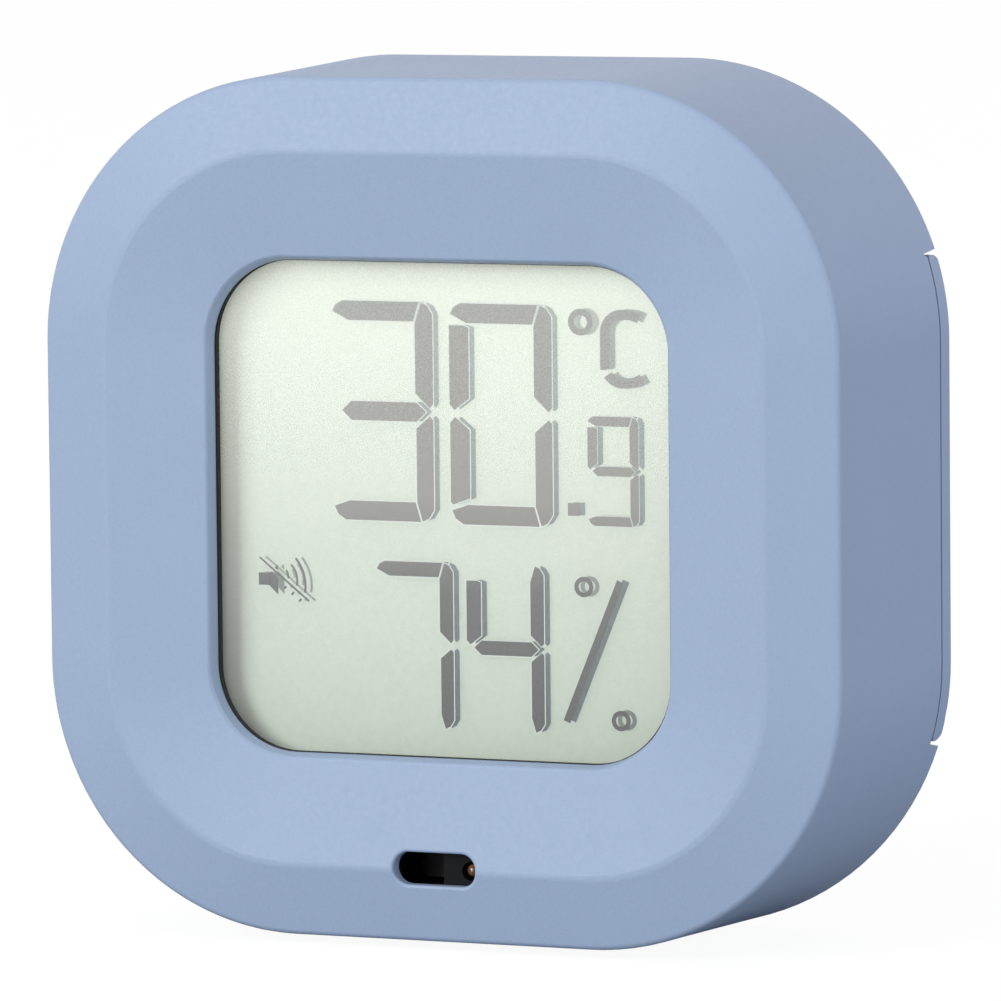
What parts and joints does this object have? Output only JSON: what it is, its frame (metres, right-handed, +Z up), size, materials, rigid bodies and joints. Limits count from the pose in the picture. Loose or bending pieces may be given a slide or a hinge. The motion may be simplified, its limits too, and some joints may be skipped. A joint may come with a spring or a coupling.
{
  "type": "room thermometer hygrometer",
  "caption": "Pocket-sized room thermometer and hygrometer in a rounded-square housing with a liquid crystal display, a sensor slot, rear buttons, battery cover and fold-out table stand.",
  "frame": {"origin": "under the middle of the body, on the level of its lowest edge", "axes": "+Z up, -Y out of the display towards the reader, +X to the reader's right"},
  "size_m": [0.065, 0.022, 0.065],
  "materials": {
    "housing_plastic": "fine-grained matt blue-grey moulding",
    "cover_plastic": "fine-grained matt blue-grey moulding",
    "button_plastic": "smooth satin",
    "display_glass": "anti-glare film on clear glass",
    "display_back": "clear glass",
    "reflector_film": "diffuse pale green film",
    "foam": "black closed-cell foam",
    "inner_plastic": "black moulding",
    "connector_rubber": "silicone with carbon layers",
    "board": "green solder mask",
    "blob_resin": "black epoxy drop",
    "chip_body": "small moulded chips",
    "sensor_package": "moulded package",
    "amber_glass": "fused amber bead",
    "contact_metal": "nickel-plated strip and wire",
    "screw_steel": "zinc-plated",
    "pin_steel": "drawn steel wire",
    "can_metal": "tinned can",
    "cell_jacket": "plain printed jacket with a metal nub"
  },
  "bodies": {
    "housing": {"front_housing": "housing_plastic", "display_gasket": "foam", "display_front_glass": "display_glass", "display_rear_glass": "display_back", "display_reflector": "reflector_film", "display_holder": "inner_plastic", "display_connector": "connector_rubber", "circuit_board": "board", "cover_screws": "screw_steel", "board_screws": "screw_steel", "back_cover": "cover_plastic", "upper_cell": "cell_jacket", "lower_cell": "cell_jacket", "bridge_contact": "contact_metal", "flat_contact": "contact_metal", "spring_contact": "contact_metal", "buzzer": "inner_plastic", "chip_blob": "blob_resin", "crystal": "can_metal", "board_chips": "chip_body", "sensor_holder": "inner_plastic", "humidity_chip": "sensor_package", "temperature_bead": "amber_glass", "unit_switch": "inner_plastic", "alarm_switch": "inner_plastic"},
    "battery_cover": {"battery_cover": "cover_plastic", "hinge_pins": "pin_steel"},
    "stand": {"table_stand": "cover_plastic"},
    "unit_button": {"unit_button": "button_plastic", "unit_plunger": "inner_plastic"},
    "alarm_button": {"alarm_button": "button_plastic", "alarm_plunger": "inner_plastic"}
  },
  "joints": [
    {"name": "battery_cover_lift_off", "type": "slide", "parent": "housing", "child": "battery_cover", "axis": [0, 1, 0], "range_m": [0, 0.025]},
    {"name": "stand_hinge", "type": "hinge", "parent": "battery_cover", "child": "stand", "pos_m": [0, 0.00995, 0.0155], "axis": [-1, 0, 0], "range_deg": [0, 100]},
    {"name": "unit_button_press", "type": "slide", "parent": "housing", "child": "unit_button", "axis": [0, -1, 0], "range_m": [0, 0.0003], "stiffness_N_per_m": 5000, "springref_m": -0.0001},
    {"name": "alarm_button_press", "type": "slide", "parent": "housing", "child": "alarm_button", "axis": [0, -1, 0], "range_m": [0, 0.0003], "stiffness_N_per_m": 5000, "springref_m": -0.0001}
  ]
}
